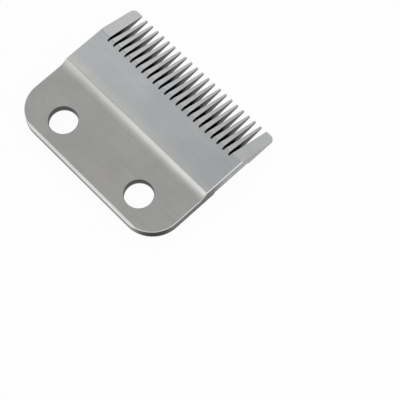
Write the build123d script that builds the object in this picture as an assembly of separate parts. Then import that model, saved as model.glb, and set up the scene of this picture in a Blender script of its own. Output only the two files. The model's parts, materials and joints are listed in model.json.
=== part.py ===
from build123d import *
from math import cos, floor, radians, sin, tan
import os

# Fixed blade of a hair clipper: one piece of ground steel, sizes in millimetres and degrees.
# It is drawn with its inner face on z = 0, its rear edge on y = 0 and its teeth pointing along +Y,
# and then moved so that the origin lies midway between the screw holes.

# Plate
plate_width = 46.5
plate_depth = 38.0
rear_thickness = 2.6
rear_corner_radius = 7.5
tip_corner_radius = 1.2
edge_radius = 0.2

# Steep bevel ground along the top of the rear edge
rear_bevel_back = 0.45
rear_bevel_drop = 1.1

# Two screw holes, barely eased on the outer face and countersunk on the inner face
hole_spacing = 25.0
hole_diameter = 6.8
hole_from_rear = 6.4
hole_edge_break = 0.08
hole_countersink = 0.45

# Hollow-ground step from the thin rear plate up to the thick front
step_from_rear = 17.0
step_run = 2.6
step_rise = 1.2

# Shallow relief across the inner face, behind the flat land at the teeth
relief_from_rear = 18.9
relief_depth = 0.55
land_length = 8.1

# Teeth: the outer face slopes down to thin tips, and tapered slots part it into teeth.
# The row has as many slots as leave each of the two end teeth at least its least width.
bevel_length = 10.2
slot_length = 11.35
slot_floor_width = 0.5
slot_fall_angle = 39.0
tooth_pitch = 1.89
tooth_tip_width = 0.42
least_end_tooth_width = 2.6
tip_thickness = 0.4

# How far a cutter reaches past the surface that it opens
overrun = 1.0

# Worked out from the sizes above
front_thickness = rear_thickness + step_rise
relief_end = plate_depth - land_length
bevel_from_rear = plate_depth - bevel_length
slot_from_rear = plate_depth - slot_length
slot_count = floor((plate_width + tooth_tip_width - 2 * least_end_tooth_width) / tooth_pitch)
slot_nose_radius = 0.45 * slot_floor_width
tip_radius = 0.4 * tooth_tip_width


def side_section():
    """Section of the blade across the tooth row, with y along the first axis and z along the second."""
    step_foot = step_from_rear - step_run
    rear_plate = Polyline((0, 0), (0, rear_thickness), (step_foot, rear_thickness))
    hollow = TangentArc((step_foot, rear_thickness), (step_from_rear, front_thickness), tangent=(1, 0))
    outer_face = Polyline(
        (step_from_rear, front_thickness),
        (bevel_from_rear, front_thickness),
        (plate_depth, tip_thickness),
        (plate_depth, 0),
    )
    inner_face = Polyline(
        (plate_depth, 0),
        (relief_end, 0),
        (relief_end - relief_depth, relief_depth),
        (relief_from_rear + relief_depth, relief_depth),
        (relief_from_rear, 0),
        (0, 0),
    )
    return make_face([rear_plate, hollow, outer_face, inner_face])


def plan_outline():
    """Outline seen from above: large rounded corners at the rear, small ones on the two end teeth."""
    outline = Pos(0, plate_depth / 2) * Rectangle(plate_width, plate_depth)
    outline = fillet(outline.vertices().group_by(Axis.Y)[0], rear_corner_radius)
    return fillet(outline.vertices().group_by(Axis.Y)[-1], tip_corner_radius)


def across_blade(section):
    """Solid of a section that runs over the full width of the blade."""
    return extrude(Plane.YZ * section, plate_width / 2, both=True)


def blank():
    """Plate with its section and outline, its upper edges eased behind the teeth and its rear edge bevelled."""
    plate = across_blade(side_section()) & extrude(plan_outline(), front_thickness)
    side_edges = plate.faces().filter_by(Axis.X).edges().filter_by(Axis.Z, reverse=True)
    upper_edges = side_edges.filter_by(lambda edge: edge.center().Z > rear_thickness / 2)
    plate = fillet(upper_edges.filter_by(lambda edge: edge.center().Y < bevel_from_rear), edge_radius)
    rear_bevel = Polyline(
        (0, rear_thickness),
        (rear_bevel_back, rear_thickness),
        (0, rear_thickness - rear_bevel_drop),
        close=True,
    )
    return plate - across_blade(make_face(rear_bevel))


def screw_hole():
    """Plain through hole with a chamfer on both rims, turned about its own axis."""
    radius = hole_diameter / 2
    half_section = Polyline(
        (0, -overrun),
        (radius + hole_countersink + overrun, -overrun),
        (radius, hole_countersink),
        (radius, rear_thickness - hole_edge_break),
        (radius + hole_edge_break + overrun, rear_thickness + overrun),
        (0, rear_thickness + overrun),
        close=True,
    )
    return revolve(Plane.XZ * make_face(half_section), Axis.Z)


def drill_screw_holes(plate):
    """A pair of screw holes near the rear edge."""
    hole = screw_hole()
    return plate - [Pos(side * hole_spacing / 2, hole_from_rear) * hole for side in (-1, 1)]


def slot_cutter():
    """Round-nosed wedge that runs down from the slot root on the outer face and out past the tooth tips."""
    fall = radians(slot_fall_angle)
    depth_at_tip = tip_thickness - front_thickness + slot_length * tan(fall)
    height_at_tip = depth_at_tip * cos(fall)
    flare = (tooth_pitch - tooth_tip_width - slot_floor_width) / height_at_tip
    height = height_at_tip + overrun
    top_width = slot_floor_width + flare * height
    wedge = make_face(
        Polyline(
            (-slot_floor_width / 2, 0),
            (slot_floor_width / 2, 0),
            (top_width / 2, height),
            (-top_width / 2, height),
            close=True,
        )
    )
    wedge = fillet(wedge.vertices().group_by(Axis.Y)[0], slot_nose_radius)
    downhill = Vector(0, cos(fall), -sin(fall))
    start = Vector(0, slot_from_rear, front_thickness) - downhill * overrun
    reach = slot_length / cos(fall) + 2 * overrun
    return extrude(Plane(start, x_dir=(-1, 0, 0), z_dir=downhill) * wedge, reach)


def cut_teeth(plate):
    """Row of equal slots, with the corners that they leave at the tooth tips rounded."""
    cutter = slot_cutter()
    first = -tooth_pitch * (slot_count - 1) / 2
    plate -= [Pos(first + number * tooth_pitch) * cutter for number in range(slot_count)]
    tip_edges = plate.faces().filter_by(Axis.Y).group_by(Axis.Y)[-1].edges()
    return fillet(tip_edges.filter_by(Axis.X, reverse=True).filter_by(Axis.Z, reverse=True), tip_radius)


fixed_blade = Pos(0, -hole_from_rear) * cut_teeth(drill_screw_holes(blank()))
os.makedirs("parts", exist_ok=True)
export_step(fixed_blade, "parts/fixed_blade.step")
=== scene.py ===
import json
import math
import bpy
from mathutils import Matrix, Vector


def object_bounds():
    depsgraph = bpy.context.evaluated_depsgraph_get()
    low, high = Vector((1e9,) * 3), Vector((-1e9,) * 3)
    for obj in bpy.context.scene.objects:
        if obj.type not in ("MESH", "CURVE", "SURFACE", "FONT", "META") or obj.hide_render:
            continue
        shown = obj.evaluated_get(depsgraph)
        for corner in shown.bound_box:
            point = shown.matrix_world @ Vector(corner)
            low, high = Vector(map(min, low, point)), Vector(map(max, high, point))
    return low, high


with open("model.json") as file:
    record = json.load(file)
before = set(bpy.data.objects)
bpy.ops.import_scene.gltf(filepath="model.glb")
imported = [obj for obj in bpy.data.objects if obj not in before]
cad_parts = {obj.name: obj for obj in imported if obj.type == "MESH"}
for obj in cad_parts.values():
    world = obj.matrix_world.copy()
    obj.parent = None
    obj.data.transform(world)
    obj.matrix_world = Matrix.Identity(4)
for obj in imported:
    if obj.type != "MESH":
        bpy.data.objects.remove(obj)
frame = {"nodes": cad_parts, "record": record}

from types import SimpleNamespace

import bpy
from bpy.props import FloatProperty, FloatVectorProperty, PointerProperty
from bpy.types import Operator, Panel, PropertyGroup
from mathutils import Quaternion, Vector

bl_info = {
    "name": "Hair Clipper Blade",
    "version": (1, 0, 0),
    "blender": (4, 5, 0),
    "location": "3D View > Sidebar > Clipper Blade",
    "description": "Ground steel finish and a soft studio for the fixed blade of a hair clipper",
    "category": "Object",
}

MILLIMETRE = 0.001
WHITE = (1.0, 1.0, 1.0, 1.0)
WHITE_STRENGTH = 1.0
FLOOR_GAP = 0.02 * MILLIMETRE
SENSOR_WIDTH = 36.0
CLIP_START = 0.01

# Parts of a surface's normal along one axis, over which one face gives way to the next
WALL_TILT = (0.36, 0.2)
EDGE_TILT = (0.985, 0.93)
SIDE_TILT = (0.5, 0.2)
LEFT_TILT = (-0.5, -0.1)
REAR_WALL_TILT = (-0.9, -0.98)
REAR_BEVEL_TILT = (-0.7, -0.9)
OUTER_TILT = (-0.1, 0.1)
INNER_TILT = (-0.5, -0.65)
SLOT_TILT = (-0.6, -0.4)

# Parts of the way from the middle of the blade to its left side, over which the seams grow
STEP_SEAM_GROWTH = (0.0, 0.4)
BEVEL_SEAM_GROWTH = (0.25, 0.75)

# Parts of the corner radius, the hole radius and the soft line, over which their zones start
CORNER_ACROSS = (0.2, 0.7)
CORNER_ALONG = (0.0, 0.5)
BORE_REACH = (1.3, 1.2)
SLOT_DEPTH = (0.2, 1.0)

# Patterns vary about their middle, with the levels of finer noise that each adds
PATTERN_MIDDLE = 0.5
FINER_NOISE = 0.6
LINE_DETAIL = 2.0
STREAK_DETAIL = 3.0
GRAIN_DETAIL = 1.0
CLOUD_DETAIL = 2.0
UNEVEN_SEAM = (0.2, 0.55)

# Light tent: sines of the heights at which it dims, and cosines that bound its opening and its shade
ZENITH_RISE = (0.45, 0.95)
OPENING_EDGE = (0.55, 0.75)
SHADE_EDGE = (0.6, 0.9)

cad_low, cad_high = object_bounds()
blade = frame["nodes"]["fixed_blade"]
screw_holes = next(mount for mount in frame["record"]["mounts"] if mount["name"] == "screw_holes")
hole_offset = screw_holes["dims"]["spacing_x_mm"] / 2 * MILLIMETRE
hole_radius = screw_holes["dims"]["hole_r_mm"] * MILLIMETRE


# Properties that a user would change

def length(name, description, millimetres):
    """A length with its default in millimetres."""
    return FloatProperty(
        name=name, description=description, default=millimetres * MILLIMETRE, unit="LENGTH", precision=5
    )


def colour(name, description, value):
    """A plain surface colour."""
    return FloatVectorProperty(
        name=name, description=description, default=value, size=3, min=0.0, max=1.0, subtype="COLOR"
    )


def share(name, description, value):
    """A number from 0 to 1."""
    return FloatProperty(
        name=name, description=description, default=value, min=0.0, max=1.0, subtype="FACTOR"
    )


def ratio(name, description, value):
    """A number from 1 up."""
    return FloatProperty(name=name, description=description, default=value, min=1.0)


def angle(name, description, degrees):
    """An angle with its default in degrees."""
    return FloatProperty(
        name=name, description=description, default=math.radians(degrees), unit="ROTATION", subtype="ANGLE"
    )


def strength(name, description, value):
    """How bright a light is, where 1 lights white to white."""
    return FloatProperty(name=name, description=description, default=value, min=0.0)


class SteelFinish(PropertyGroup):
    """Colours and textures of the blade's surfaces, and the sizes that part one finish from the next."""

    rear_colour: colour("Rear plate", "Tumbled steel of the thin rear plate", (0.415, 0.415, 0.405))
    hollow_colour: colour("Hollow", "Ground steel of the hollow step", (0.58, 0.58, 0.561))
    step_colour: colour("Step strip", "Lighter strip of the front next to the step", (0.59, 0.59, 0.571))
    front_colour: colour("Front", "Ground steel of the thick front", (0.505, 0.522, 0.532))
    tooth_colour: colour("Teeth", "Ground steel of the sloping tooth tops", (0.541, 0.548, 0.561))
    inner_colour: colour("Inner face", "Ground steel of the flat underside", (0.56, 0.56, 0.56))
    # Eased edges: partly burnished steel, partly a painted highlight.
    edge_burnish_and_highlight: colour("Edges", "Bright steel of the eased edges", (0.94, 0.94, 0.92))
    bevel_colour: colour("Bevels", "Bright steel of the rear bevel and hole rims", (0.72, 0.72, 0.70))
    wall_colour: colour("Ground walls", "Ground steel of the rear and front walls", (0.48, 0.48, 0.467))
    # The stamped walls are dark partly for their own finish and partly as painted shade for the shadowed
    # floor that they reflect; the rear corners are darker still as painted shade.
    stamped_and_shade_colour: colour("Stamped walls", "Dark steel of the walls left as stamped", (0.19, 0.19, 0.184))
    corner_shade_colour: colour("Corner walls", "Darker stamped steel of the rear corners", (0.048, 0.048, 0.047))
    # Painted shade inside the screw holes.
    bore_shade_colour: colour("Hole walls", "Dark steel inside the screw holes", (0.083, 0.083, 0.081))
    # Painted shade in the narrow slots between the teeth, darkest towards their roots.
    slot_shade_colour: colour("Slots", "Steel of the walls between the teeth, near the tips", (0.15, 0.15, 0.15))
    root_shade_colour: colour("Slot roots", "Dark steel down in the slots", (0.07, 0.07, 0.07))
    seam_colour: colour("Seams", "Dark line where two ground faces meet", (0.36, 0.36, 0.35))
    grazing_colour: colour("Grazing", "Tint of what the steel reflects at a grazing angle", (0.6, 0.6, 0.6))

    # Painted light: the hollow lighter on the right, and the front and the teeth lighter on the left, stand
    # in for how the light falls across the blade.
    painted_hollow_light: share("Hollow swing", "How much lighter the hollow is on the right than on the left", 0.12)
    painted_front_light: share("Front swing", "How much lighter the front and the teeth are on the left", 0.14)
    strip_right: share("Strip right", "How clear the strip next to the step is on the right", 0.5)
    strip_left: share("Strip left", "How clear the strip next to the step is on the left", 0.95)
    step_seam_depth: share("Step seam", "How dark the seam at the step is on the left", 0.8)
    bevel_seam_right: share("Bevel seam right", "How dark the seam at the tooth slope is on the right", 0.25)
    bevel_seam_left: share("Bevel seam left", "How dark the seam at the tooth slope is on the left", 0.9)
    # Painted shade: the eased edges at the rear and on the left get less of the painted highlight.
    rear_edge_shaded_share: share("Rear edges", "How bright the eased edges of the rear plate are", 0.64)
    left_edge_shaded_share: share("Left edges", "How bright the eased edges of the left side are", 0.2)
    # Painted contact shadow at the foot of the stamped walls.
    foot_shade: share("Foot shade", "How dark the stamped walls are at their foot", 0.85)
    rear_grind: share("Rear grind", "How far the rear wall is ground", 0.4)
    cloud_amount: share("Clouds", "How much the clouds change the colour", 0.18)
    tint_amount: share("Tint", "How much the clouds change the tint", 0.07)
    streak_amount: share("Streaks", "How much the broad streaks of the wheel change the colour", 0.10)
    line_amount: share("Lines", "How much the fine lines of the wheel change the colour", 0.22)
    grain_amount: share("Grain", "How much the grain changes the colour", 0.16)

    rear_roughness: share("Rear roughness", "Roughness of the rear plate", 0.38)
    ground_roughness: share("Ground roughness", "Roughness of the ground faces", 0.30)
    edge_roughness: share("Edge roughness", "Roughness of the eased edges and the rear bevel", 0.22)
    wall_roughness: share("Wall roughness", "Roughness of the walls", 0.34)
    grain_roughness: share("Grain roughness", "How much the grain changes the roughness", 0.1)

    line_spacing: length("Line spacing", "Between the fine lines of the grinding wheel", 0.11)
    streak_width: length("Streak width", "Width of the broader streaks of the grinding wheel", 0.99)
    line_draw: ratio("Line draw", "How many times as long as wide a line of the grinding wheel is", 40.0)
    grain_size: length("Grain size", "Size of the fine grain of the tumbled steel", 0.16)
    cloud_size: length("Cloud size", "Size of the faint clouds in the steel", 7.0)
    relief: length("Relief", "Height of the lines and the grain", 0.003)
    soft_line: length("Soft line", "Width of the change from one finish to the next", 0.1)

    step_from_rear: length("Step from rear", "From the rear edge to the edge of the hollow step", 17.0)
    step_run: length("Step run", "Length of the hollow step", 2.6)
    step_strip: length("Step strip", "How far the lighter strip next to the step reaches forward", 3.0)
    step_seam_reach: length("Step seam reach", "Reach of the seam at the step to each side", 0.2)
    side_run: length("Side run", "How far the side walls take, from the step on, to turn ground", 7.0)
    foot_height: length("Foot height", "Height from which the stamped walls darken downwards", 0.9)
    corner_radius: length("Corner radius", "Radius of the rear corners", 7.5)
    rim_start: length("Rim start", "Height from which the hole walls brighten downwards", 0.9)
    rim_end: length("Rim end", "Height below which the hole walls are bright", 0.5)
    bevel_length: length("Bevel length", "From the tooth tips to where the outer face starts to slope", 10.2)
    bevel_seam_reach: length("Bevel seam reach", "Reach of the seam at the tooth slope to each side", 0.25)
    slot_length: length("Slot length", "From the tooth tips to the roots of the slots", 11.35)
    slot_shade_length: length("Dark length", "How far the slots stay dark from their roots", 4.8)
    slot_shade_fade: length("Dark fade", "How far the dark end of the slots fades to each side", 1.0)
    end_tooth_width: length("End tooth width", "Width of each of the two end teeth", 2.5)
    tip_thickness: length("Tip thickness", "Thickness of the tooth tips", 0.4)


class StudioStage(PropertyGroup):
    """Camera, floor and light."""

    azimuth: angle("Azimuth", "Direction of the camera, from the rear edge towards the right side", 48.39)
    elevation: angle("Elevation", "Height of the camera above the horizon", 67.65)
    roll: angle("Roll", "Turn of the camera about its own axis", -2.218)
    distance: length("Distance", "From the camera to the point that it aims at", 346.35)
    aim_x: length("Aim X", "Point on the floor at the centre of the picture, along the tooth row", 22.109)
    aim_y: length("Aim Y", "Point on the floor at the centre of the picture, across the tooth row", 9.417)
    lens: FloatProperty(name="Lens", description="Focal length", default=140.64, unit="CAMERA")
    floor_size: length("Floor size", "Width of the floor", 3000.0)
    floor_colour: colour("Floor", "Pale floor under the blade", (0.88, 0.88, 0.88))
    floor_lift: share("Floor lift", "How far the floor is lifted to white to the eye and in the steel", 0.95)
    zenith: strength("Zenith", "Light from straight above", 0.72)
    horizon: strength("Horizon", "Light from near the floor", 1.05)
    opening_azimuth: angle("Opening", "Direction in which the light tent is open", 62.0)
    opening_depth: share("Opening depth", "How far the light tent is dimmed by its opening", 0.5)
    shade_azimuth: angle("Shade azimuth", "Direction in which the light tent is dimmer", 195.0)
    shade_elevation: angle("Shade elevation", "Height at which the light tent is dimmer", 15.0)
    shade_depth: share("Shade depth", "How far the light tent is dimmed there", 0.15)
    rear_azimuth: angle("Rear azimuth", "Direction of the rear softbox", 0.0)
    rear_elevation: angle("Rear elevation", "Height of the rear softbox", 32.0)
    rear_strength: strength("Rear strength", "Brightness of the rear softbox", 0.35)
    right_azimuth: angle("Right azimuth", "Direction of the right softbox", 112.0)
    right_elevation: angle("Right elevation", "Height of the right softbox", 20.0)
    right_strength: strength("Right strength", "Brightness of the right softbox", 0.45)
    softbox_size: length("Softbox size", "Width of a softbox", 300.0)
    softbox_distance: length("Softbox distance", "From a softbox to the blade", 500.0)


# Shader nodes

class Nodes:
    """Short names for adding nodes to one tree and feeding them."""

    number_sockets = (2, 3)
    number_result = 0
    colour_sockets = (6, 7)
    colour_result = 2

    def __init__(self, tree):
        self.tree = tree

    def feed(self, socket, source):
        """Links a socket to another node's output, or sets the value that it has unlinked."""
        if isinstance(source, bpy.types.NodeSocket):
            self.tree.links.new(source, socket)
        else:
            socket.default_value = source

    def add(self, kind, inputs=None, **settings):
        """Node with its settings, and its inputs fed by name or by number."""
        node = self.tree.nodes.new("ShaderNode" + kind)
        for name, value in settings.items():
            setattr(node, name, value)
        for name, source in (inputs or {}).items():
            self.feed(node.inputs[name], source)
        return node

    def calculate(self, operation, *operands):
        """Result of a Math node."""
        return self.add("Math", dict(enumerate(operands)), operation=operation).outputs["Value"]

    def dot(self, first, second):
        """Dot product of two vectors."""
        return self.add("VectorMath", {0: first, 1: second}, operation="DOT_PRODUCT").outputs["Value"]

    def product(self, *factors):
        """All the factors multiplied together."""
        total = factors[0]
        for factor in factors[1:]:
            total = self.calculate("MULTIPLY", total, factor)
        return total

    def rest(self, mask):
        """Mask of all that another mask leaves out."""
        return self.calculate("SUBTRACT", 1.0, mask)

    def rise(self, value, start, end):
        """Smooth mask that goes from 0 where the value is at start to 1 where it is at end."""
        inputs = {"Value": value, "From Min": start, "From Max": end}
        return self.add("MapRange", inputs, interpolation_type="SMOOTHSTEP").outputs["Result"]

    def near(self, value, centre, reach):
        """Smooth mask that is 1 where the value is at the centre and 0 from its reach on."""
        away = self.calculate("ABSOLUTE", self.calculate("SUBTRACT", value, centre))
        return self.rise(away, reach, 0.0)

    def lean(self, mask, first, second):
        """Number that goes from the first to the second as the mask goes from 0 to 1."""
        ends = dict(zip(self.number_sockets, (first, second)))
        return self.add("Mix", {"Factor": mask, **ends}).outputs[self.number_result]

    def blend(self, mask, first, second):
        """Colour that goes from the first to the second as the mask goes from 0 to 1."""
        node = self.add("Mix", {"Factor": mask}, data_type="RGBA")
        for socket, source in zip(self.colour_sockets, (first, second)):
            plain = not isinstance(source, bpy.types.NodeSocket)
            self.feed(node.inputs[socket], (*source, 1.0) if plain else source)
        return node.outputs[self.colour_result]

    def vary(self, base, pattern, amount):
        """Colour that a pattern makes darker below its middle and lighter above it, by an amount."""
        least = 1.0 - amount * PATTERN_MIDDLE
        swing = {0: pattern, 1: (amount, amount, amount), 2: (least, least, least)}
        scale = self.add("VectorMath", swing, operation="MULTIPLY_ADD").outputs["Vector"]
        return self.add("VectorMath", {0: base, 1: scale}, operation="MULTIPLY").outputs["Vector"]

    def noise(self, vector, size, detail):
        """Outputs of smooth noise about its middle, with patches of one size and finer ones in them."""
        scale = self.calculate("DIVIDE", 1.0, size)
        inputs = {"Vector": vector, "Scale": scale, "Detail": detail, "Roughness": FINER_NOISE}
        return self.add("TexNoise", inputs).outputs

    def pattern(self, group, inputs):
        """Outputs of a node group."""
        node = self.add("Group", node_tree=group)
        for name, source in inputs.items():
            self.feed(node.inputs[name], source)
        return node.outputs


def empty_tree(owner):
    """Node tree of a material or world, cleared."""
    owner.use_nodes = True
    owner.node_tree.nodes.clear()
    return owner.node_tree


# Patterns

def pattern_group(name, inputs, outputs):
    """Empty node group that takes a vector and numbers, and the ends that its nodes are linked to."""
    tree = bpy.data.node_groups.new(name, "ShaderNodeTree")
    tree.interface.new_socket("Vector", in_out="INPUT", socket_type="NodeSocketVector")
    for socket in inputs:
        tree.interface.new_socket(socket, in_out="INPUT", socket_type="NodeSocketFloat")
    for socket, kind in outputs.items():
        tree.interface.new_socket(socket, in_out="OUTPUT", socket_type="NodeSocket" + kind)
    given = tree.nodes.new("NodeGroupInput").outputs
    made = tree.nodes.new("NodeGroupOutput").inputs
    return Nodes(tree), given, made


def grind_lines():
    """Fine lines and broader streaks left by a grinding wheel that ran along the pattern's X axis."""
    inputs = ("Line Width", "Streak Width", "Draw")
    nodes, given, made = pattern_group("Grind Lines", inputs, {"Lines": "Float", "Streaks": "Float"})
    squeeze = nodes.calculate("DIVIDE", 1.0, given["Draw"])
    stretch = nodes.add("CombineXYZ", {"X": squeeze, "Y": 1.0, "Z": 1.0}).outputs["Vector"]
    drawn = nodes.add("VectorMath", {0: given["Vector"], 1: stretch}, operation="MULTIPLY").outputs["Vector"]
    nodes.feed(made["Lines"], nodes.noise(drawn, given["Line Width"], LINE_DETAIL)["Fac"])
    nodes.feed(made["Streaks"], nodes.noise(drawn, given["Streak Width"], STREAK_DETAIL)["Fac"])
    return nodes.tree


def grain():
    """Fine even grain, and wide faint clouds that differ in brightness and in tint."""
    inputs = ("Grain Size", "Cloud Size")
    outputs = {"Grain": "Float", "Clouds": "Float", "Tint": "Color"}
    nodes, given, made = pattern_group("Grain", inputs, outputs)
    nodes.feed(made["Grain"], nodes.noise(given["Vector"], given["Grain Size"], GRAIN_DETAIL)["Fac"])
    clouds = nodes.noise(given["Vector"], given["Cloud Size"], CLOUD_DETAIL)
    nodes.feed(made["Clouds"], clouds["Fac"])
    nodes.feed(made["Tint"], clouds["Color"])
    return nodes.tree


# Zones of the blade

def length_zones(nodes, place, finish):
    """Masks of the zones that follow one another from the rear edge to the tooth tips, and of their seams."""
    step_edge = cad_low.y + finish.step_from_rear
    step_foot = step_edge - finish.step_run
    bevel_line = cad_high.y - finish.bevel_length
    soft = finish.soft_line
    step_seam = nodes.near(place["Y"], step_edge + soft, finish.step_seam_reach)
    step_growth = nodes.rise(place["X"], *(part * cad_low.x for part in STEP_SEAM_GROWTH))
    bevel_seam = nodes.near(place["Y"], bevel_line - soft, finish.bevel_seam_reach)
    bevel_growth = nodes.rise(place["X"], *(part * cad_low.x for part in BEVEL_SEAM_GROWTH))
    bevel_depth = nodes.lean(bevel_growth, finish.bevel_seam_right, finish.bevel_seam_left)
    return SimpleNamespace(
        left=nodes.rise(place["X"], cad_high.x, cad_low.x),
        in_step=nodes.rise(place["Y"], step_foot - soft, step_foot),
        past_foot=nodes.rise(place["Y"], step_foot, step_edge),
        past_edge=nodes.rise(place["Y"], step_edge - soft, step_edge + soft),
        past_strip=nodes.rise(place["Y"], step_edge, step_edge + finish.step_strip),
        past_bevel=nodes.rise(place["Y"], bevel_line - soft, bevel_line + soft),
        ground_side=nodes.rise(place["Y"], step_edge, step_edge + finish.side_run),
        step_seam=nodes.product(step_seam, step_growth, finish.step_seam_depth),
        bevel_seam=nodes.product(bevel_seam, bevel_depth),
    )


def add_wall_zones(nodes, place, facing, finish, zones):
    """Masks of the walls, of their foot and of the rear corners, where shade is painted, and of the inner
    face.
    """
    across = nodes.calculate("ABSOLUTE", place["X"])
    level = nodes.calculate("ABSOLUTE", facing["Z"])
    radius = finish.corner_radius
    corner_x = cad_high.x - radius
    corner_y = cad_low.y + radius
    zones.wall = nodes.rise(level, *WALL_TILT)
    zones.rear_wall = nodes.rise(facing["Y"], *REAR_WALL_TILT)
    zones.foot = nodes.rise(place["Z"], finish.foot_height, finish.soft_line)
    zones.corner = nodes.product(
        nodes.rise(across, *(corner_x + part * radius for part in CORNER_ACROSS)),
        nodes.rise(place["Y"], *(corner_y - part * radius for part in CORNER_ALONG)),
    )
    zones.inner = nodes.rise(facing["Z"], *INNER_TILT)


def add_edge_zones(nodes, facing, finish, zones):
    """Masks of the eased edges of the outer face, with their painted highlight dimmed at the rear and on the
    left as painted shade, and of the rear bevel.
    """
    sideways = nodes.calculate("ABSOLUTE", facing["X"])
    level = nodes.calculate("ABSOLUTE", facing["Z"])
    hollow = nodes.product(zones.in_step, nodes.rest(zones.past_edge), nodes.rise(sideways, *SIDE_TILT))
    zones.tilted = nodes.rise(level, *EDGE_TILT)
    zones.edge = nodes.product(
        zones.tilted,
        nodes.rest(zones.wall),
        nodes.rest(hollow),
        nodes.rest(zones.past_bevel),
        # Painted shade: less of the painted highlight on the rear and the left-facing edges.
        nodes.lean(zones.past_edge, finish.rear_edge_shaded_share, 1.0),
        nodes.lean(nodes.rise(facing["X"], *LEFT_TILT), finish.left_edge_shaded_share, 1.0),
        nodes.rise(facing["Z"], *OUTER_TILT),
    )
    zones.rear_bevel = nodes.product(nodes.rise(facing["Y"], *REAR_BEVEL_TILT), nodes.rest(zones.wall))


def add_hole_zones(nodes, place, finish, zones):
    """Masks of the screw holes, whose walls get painted shade, and of their lower rims."""
    across = nodes.calculate("ABSOLUTE", place["X"])
    from_hole = nodes.calculate("SUBTRACT", across, hole_offset)
    flat = nodes.add("CombineXYZ", {"X": from_hole, "Y": place["Y"]}).outputs["Vector"]
    distance = nodes.add("VectorMath", {0: flat}, operation="LENGTH").outputs["Value"]
    inside = nodes.rise(distance, *(part * hole_radius for part in BORE_REACH))
    zones.bore = nodes.product(zones.tilted, inside)
    zones.bore_rim = nodes.rise(place["Z"], finish.rim_start, finish.rim_end)


def add_slot_zones(nodes, place, facing, finish, zones):
    """Masks of the walls between the teeth, and of the deep end of the slots, where shade is painted darkest.
    """
    slot_root = cad_high.y - finish.slot_length
    slot_row = cad_high.x - finish.end_tooth_width
    bevel_line = cad_high.y - finish.bevel_length
    soft = finish.soft_line
    slope = (cad_high.z - finish.tip_thickness) / finish.bevel_length
    past_line = nodes.calculate("MAXIMUM", nodes.calculate("SUBTRACT", place["Y"], bevel_line), 0.0)
    outer_face = nodes.calculate("MULTIPLY_ADD", past_line, -slope, cad_high.z)
    depth = nodes.calculate("SUBTRACT", outer_face, place["Z"])
    across = nodes.calculate("ABSOLUTE", place["X"])
    zones.slot = nodes.product(
        nodes.rise(depth, *(part * soft for part in SLOT_DEPTH)),
        nodes.rise(place["Y"], slot_root - soft, slot_root),
        nodes.rise(across, slot_row, slot_row - soft),
        nodes.rise(facing["Z"], *SLOT_TILT),
    )
    slot_shade_end = slot_root + finish.slot_shade_length
    zones.dark = nodes.rise(place["Y"], slot_shade_end + finish.slot_shade_fade, slot_shade_end - finish.slot_shade_fade)


# Steel

def steel_marks(nodes, vector, zones, finish):
    """Patterns of the steel: lines along the blade that turn along the teeth, grain and clouds."""
    wheel = grind_lines()
    widths = {
        "Line Width": finish.line_spacing,
        "Streak Width": finish.streak_width,
        "Draw": finish.line_draw,
    }
    turned = nodes.add("Mapping", {"Vector": vector, "Rotation": (0.0, 0.0, math.pi / 2)}).outputs["Vector"]
    along_blade = nodes.pattern(wheel, {"Vector": vector, **widths})
    along_teeth = nodes.pattern(wheel, {"Vector": turned, **widths})
    sizes = {"Grain Size": finish.grain_size, "Cloud Size": finish.cloud_size}
    tumbled = nodes.pattern(grain(), {"Vector": vector, **sizes})
    return SimpleNamespace(
        seam_lines=along_blade["Lines"],
        lines=nodes.lean(zones.past_bevel, along_blade["Lines"], along_teeth["Lines"]),
        streaks=nodes.lean(zones.past_bevel, along_blade["Streaks"], along_teeth["Streaks"]),
        grain=tumbled["Grain"],
        clouds=tumbled["Clouds"],
        tint=tumbled["Tint"],
    )


def face_colour(nodes, zones, marks, finish):
    """Colour of the outer face from the rear edge to the tips, with its seams, and of the inner face."""
    # Painted light: the hollow is made lighter on its right side.
    hollow = nodes.vary(finish.hollow_colour, nodes.rest(zones.left), finish.painted_hollow_light)
    base = nodes.blend(zones.past_foot, finish.rear_colour, hollow)
    strip_share = nodes.lean(zones.left, finish.strip_right, finish.strip_left)
    strip = nodes.product(nodes.rest(zones.past_strip), strip_share)
    front = nodes.blend(strip, finish.front_colour, finish.step_colour)
    # Painted light: the front and the teeth are made lighter on their left side.
    base = nodes.blend(zones.past_edge, base, nodes.vary(front, zones.left, finish.painted_front_light))
    teeth = nodes.vary(finish.tooth_colour, zones.left, finish.painted_front_light)
    base = nodes.blend(zones.past_bevel, base, teeth)
    uneven = nodes.rise(marks.seam_lines, *UNEVEN_SEAM)
    for seam in (zones.step_seam, zones.bevel_seam):
        base = nodes.blend(nodes.product(seam, uneven), base, finish.seam_colour)
    return nodes.blend(zones.inner, base, finish.inner_colour)


def wall_colour(nodes, zones, finish):
    """Colour of the walls: dark where they are left as stamped and as painted shade, darkest as painted shade
    at the rear corners and as a painted contact shadow at the foot, lighter where they are ground.
    """
    # Painted shade at the rear corners, and a painted contact shadow at the foot.
    dark = nodes.calculate("MAXIMUM", zones.corner, nodes.product(zones.foot, finish.foot_shade))
    stamped = nodes.blend(dark, finish.stamped_and_shade_colour, finish.corner_shade_colour)
    rear_ground = nodes.product(zones.rear_wall, finish.rear_grind)
    ground = nodes.calculate("MAXIMUM", zones.ground_side, rear_ground)
    return nodes.blend(ground, stamped, finish.wall_colour)


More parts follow.
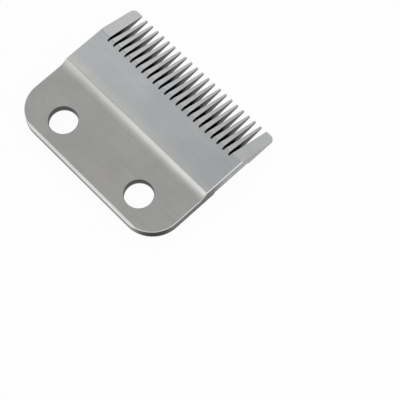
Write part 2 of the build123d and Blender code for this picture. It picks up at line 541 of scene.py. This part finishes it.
def steel_colour(nodes, zones, marks, finish):
    """Colour of every zone, with clouds, streaks, lines and grain in it."""
    # Painted shade on the hole walls, lighter at their lower rims.
    bore_shade_and_rims = nodes.blend(zones.bore_rim, finish.bore_shade_colour, finish.bevel_colour)
    # Painted shade in the slots, darkest at their roots.
    slots = nodes.blend(zones.dark, finish.slot_shade_colour, finish.root_shade_colour)
    base = face_colour(nodes, zones, marks, finish)
    for mask, own_colour in (
        (zones.wall, wall_colour(nodes, zones, finish)),
        (zones.edge, finish.edge_burnish_and_highlight),
        (zones.rear_bevel, finish.bevel_colour),
        (zones.bore, bore_shade_and_rims),
        (zones.slot, slots),
    ):
        base = nodes.blend(mask, base, own_colour)
    for pattern, amount in (
        (marks.clouds, finish.cloud_amount),
        (marks.tint, finish.tint_amount),
        (marks.streaks, finish.streak_amount),
        (marks.lines, finish.line_amount),
        (marks.grain, finish.grain_amount),
    ):
        base = nodes.vary(base, pattern, amount)
    return base


def steel_roughness(nodes, zones, marks, finish):
    """Roughness of every zone, with the grain in it."""
    roughness = nodes.lean(zones.past_foot, finish.rear_roughness, finish.ground_roughness)
    roughness = nodes.lean(zones.wall, roughness, finish.wall_roughness)
    roughness = nodes.lean(zones.edge, roughness, finish.edge_roughness)
    grain_swing = nodes.calculate("SUBTRACT", marks.grain, PATTERN_MIDDLE)
    return nodes.calculate("MULTIPLY_ADD", grain_swing, finish.grain_roughness, roughness)


def steel_relief(nodes, zones, marks, finish):
    """Normal of a surface with grain at the rear and lines on the ground faces, and smooth eased edges."""
    height = nodes.lean(zones.past_foot, marks.grain, marks.lines)
    height = nodes.lean(zones.edge, height, PATTERN_MIDDLE)
    return nodes.add("Bump", {"Height": height, "Distance": finish.relief}).outputs["Normal"]


def ground_steel(finish):
    """Ground steel whose colour, roughness and lines change from zone to zone of the blade."""
    material = bpy.data.materials.new("ground_steel")
    nodes = Nodes(empty_tree(material))
    coordinates = nodes.add("TexCoord").outputs
    place = nodes.add("SeparateXYZ", {0: coordinates["Object"]}).outputs
    facing = nodes.add("SeparateXYZ", {0: coordinates["Normal"]}).outputs
    zones = length_zones(nodes, place, finish)
    add_wall_zones(nodes, place, facing, finish, zones)
    add_edge_zones(nodes, facing, finish, zones)
    add_hole_zones(nodes, place, finish, zones)
    add_slot_zones(nodes, place, facing, finish, zones)
    marks = steel_marks(nodes, coordinates["Object"], zones, finish)
    surface = {
        "Base Color": steel_colour(nodes, zones, marks, finish),
        "Metallic": 1.0,
        "Specular Tint": (*finish.grazing_colour, 1.0),
        "Roughness": steel_roughness(nodes, zones, marks, finish),
        "Normal": steel_relief(nodes, zones, marks, finish),
    }
    shader = nodes.add("BsdfPrincipled", surface)
    nodes.add("OutputMaterial", {"Surface": shader.outputs["BSDF"]})
    return material


# Stage

def pale_floor(stage):
    """Pale floor that is nearly white to the eye and in the steel, and still takes the blade's shadow."""
    half = stage.floor_size / 2
    corners = [(-half, -half), (half, -half), (half, half), (-half, half)]
    below = cad_low.z - FLOOR_GAP
    mesh = bpy.data.meshes.new("floor")
    mesh.from_pydata([(x, y, below) for x, y in corners], [], [(0, 1, 2, 3)])
    floor = bpy.data.objects.new("floor", mesh)
    bpy.context.scene.collection.objects.link(floor)
    material = bpy.data.materials.new("pale_floor")
    nodes = Nodes(empty_tree(material))
    path = nodes.add("LightPath").outputs
    seen = nodes.calculate("MAXIMUM", path["Is Camera Ray"], path["Is Transmission Ray"])
    seen = nodes.calculate("MAXIMUM", seen, path["Is Glossy Ray"])
    lift = nodes.calculate("MULTIPLY", seen, stage.floor_lift)
    matt = nodes.add("BsdfDiffuse", {"Color": (*stage.floor_colour, 1.0)}).outputs["BSDF"]
    glow = nodes.add("Emission", {"Color": WHITE, "Strength": WHITE_STRENGTH}).outputs["Emission"]
    mixed = nodes.add("MixShader", {0: lift, 1: matt, 2: glow})
    nodes.add("OutputMaterial", {"Surface": mixed.outputs["Shader"]})
    mesh.materials.append(material)


def heading(azimuth, elevation):
    """Direction from the blade to a camera or lamp, turned from the rear edge towards the right side."""
    flat = math.cos(elevation)
    return Vector((math.sin(azimuth) * flat, -math.cos(azimuth) * flat, math.sin(elevation)))


def light_tent(stage):
    """Soft light from all round: bright low down, dimmer above, past the teeth and at its opening."""
    world = bpy.data.worlds.new("light_tent")
    nodes = Nodes(empty_tree(world))
    direction = nodes.add("TexCoord").outputs["Generated"]
    height = nodes.add("SeparateXYZ", {0: direction}).outputs["Z"]
    low, high = ZENITH_RISE
    slope = {"From Min": low, "From Max": high, "To Min": stage.horizon, "To Max": stage.zenith}
    level = nodes.add("MapRange", {"Value": height, **slope}).outputs["Result"]
    opening = nodes.dot(direction, heading(stage.opening_azimuth, 0.0))
    opened = nodes.product(nodes.rise(opening, *OPENING_EDGE), stage.opening_depth)
    shade = nodes.dot(direction, heading(stage.shade_azimuth, stage.shade_elevation))
    shaded = nodes.product(nodes.rise(shade, *SHADE_EDGE), stage.shade_depth)
    level = nodes.product(level, nodes.rest(opened), nodes.rest(shaded))
    level = nodes.lean(nodes.add("LightPath").outputs["Is Camera Ray"], level, WHITE_STRENGTH)
    background = nodes.add("Background", {"Color": WHITE, "Strength": level})
    nodes.add("OutputWorld", {"Surface": background.outputs["Background"]})
    bpy.context.scene.world = world


def softbox(name, azimuth, elevation, radiance, stage):
    """Square lamp that faces the blade, with a brightness that doesn't depend on its size."""
    data = bpy.data.lights.new(name, "AREA")
    data.size = stage.softbox_size
    data.energy = radiance * math.pi * stage.softbox_size**2
    lamp = bpy.data.objects.new(name, data)
    bpy.context.scene.collection.objects.link(lamp)
    centre = (cad_low + cad_high) / 2
    away = heading(azimuth, elevation)
    lamp.location = centre + away * stage.softbox_distance
    lamp.rotation_mode = "QUATERNION"
    lamp.rotation_quaternion = (-away).to_track_quat("-Z", "Y")


def aim_camera(stage):
    """Camera at the photograph's viewing angle."""
    data = bpy.data.cameras.new("camera")
    data.lens = stage.lens
    data.sensor_width = SENSOR_WIDTH
    data.clip_start = CLIP_START
    camera = bpy.data.objects.new("camera", data)
    bpy.context.scene.collection.objects.link(camera)
    back = heading(stage.azimuth, stage.elevation)
    camera.location = Vector((stage.aim_x, stage.aim_y, 0.0)) + back * stage.distance
    camera.rotation_mode = "QUATERNION"
    turn = Quaternion((0.0, 0.0, 1.0), stage.roll)
    camera.rotation_quaternion = (-back).to_track_quat("-Z", "Y") @ turn
    bpy.context.scene.camera = camera


# Operators and panel

class CLIPPER_OT_finish_blade(Operator):
    """Give the fixed blade its ground steel finish"""

    bl_idname = "clipper.finish_blade"
    bl_label = "Finish Blade"

    def execute(self, context):
        blade.material_slots[0].material = ground_steel(context.scene.steel_finish)
        return {"FINISHED"}


class CLIPPER_OT_set_stage(Operator):
    """Set out the floor, the light and the camera"""

    bl_idname = "clipper.set_stage"
    bl_label = "Set Stage"

    def execute(self, context):
        stage = context.scene.studio_stage
        pale_floor(stage)
        light_tent(stage)
        softbox("rear_softbox", stage.rear_azimuth, stage.rear_elevation, stage.rear_strength, stage)
        softbox("right_softbox", stage.right_azimuth, stage.right_elevation, stage.right_strength, stage)
        aim_camera(stage)
        context.scene.view_settings.view_transform = "Standard"
        return {"FINISHED"}


class CLIPPER_PT_sidebar(Panel):
    """Blade finish and stage"""

    bl_label = "Clipper Blade"
    bl_idname = "CLIPPER_PT_sidebar"
    bl_space_type = "VIEW_3D"
    bl_region_type = "UI"
    bl_category = "Clipper Blade"

    def draw(self, context):
        for settings, operator in (
            (context.scene.steel_finish, CLIPPER_OT_finish_blade),
            (context.scene.studio_stage, CLIPPER_OT_set_stage),
        ):
            box = self.layout.box()
            for name in settings.__annotations__:
                box.prop(settings, name)
            box.operator(operator.bl_idname)


classes = (SteelFinish, StudioStage, CLIPPER_OT_finish_blade, CLIPPER_OT_set_stage, CLIPPER_PT_sidebar)


def register():
    """Adds the classes, and the settings that a scene holds."""
    for item in classes:
        bpy.utils.register_class(item)
    bpy.types.Scene.steel_finish = PointerProperty(type=SteelFinish)
    bpy.types.Scene.studio_stage = PointerProperty(type=StudioStage)


def unregister():
    """Takes the settings and the classes away again."""
    del bpy.types.Scene.studio_stage
    del bpy.types.Scene.steel_finish
    for item in reversed(classes):
        bpy.utils.unregister_class(item)


def main():
    """Registers the add-on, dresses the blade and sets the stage."""
    register()
    bpy.ops.clipper.finish_blade()
    bpy.ops.clipper.set_stage()


if __name__ == "__main__":
    main()
